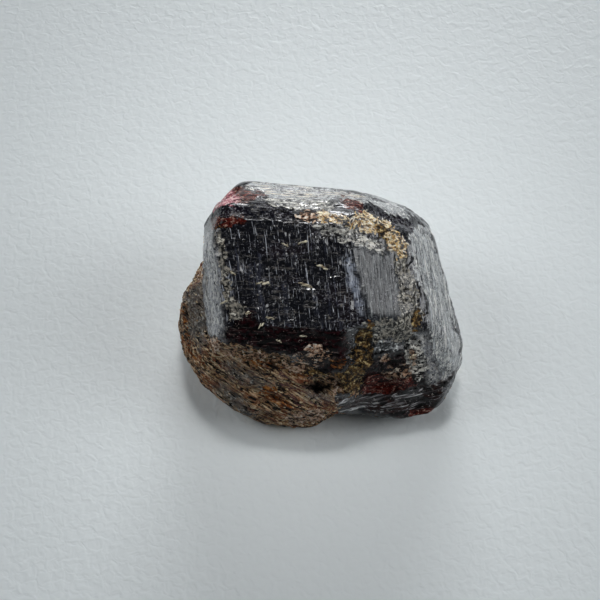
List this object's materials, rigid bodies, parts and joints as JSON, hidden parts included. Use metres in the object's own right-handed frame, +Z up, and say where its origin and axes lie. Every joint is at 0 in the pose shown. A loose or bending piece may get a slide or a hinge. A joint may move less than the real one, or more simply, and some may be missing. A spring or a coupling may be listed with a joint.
{
  "type": "garnet crystal",
  "caption": "Loose worn garnet crystal with flat striated faces and chipped edges, grown onto a rounded foot of brown mica schist, lying on a flat base.",
  "frame": {"origin": "centre of the bounding box's base, on the surface that the stone rests on", "axes": "+Z up from the surface, +X along the stone's longest side, -Y towards its front, where the crown face leans"},
  "size_m": [0.027, 0.021, 0.0183],
  "materials": {
    "garnet": "near-black red almandine garnet, worn satin gloss, fine growth striations",
    "mica_schist": "brown weathered mica schist, rough and fibrous, rusty in places",
    "mica": "gold and cream mica flakes, pearly"
  },
  "bodies": {
    "root": {"garnet_crystal": "garnet"}
  },
  "joints": []
}
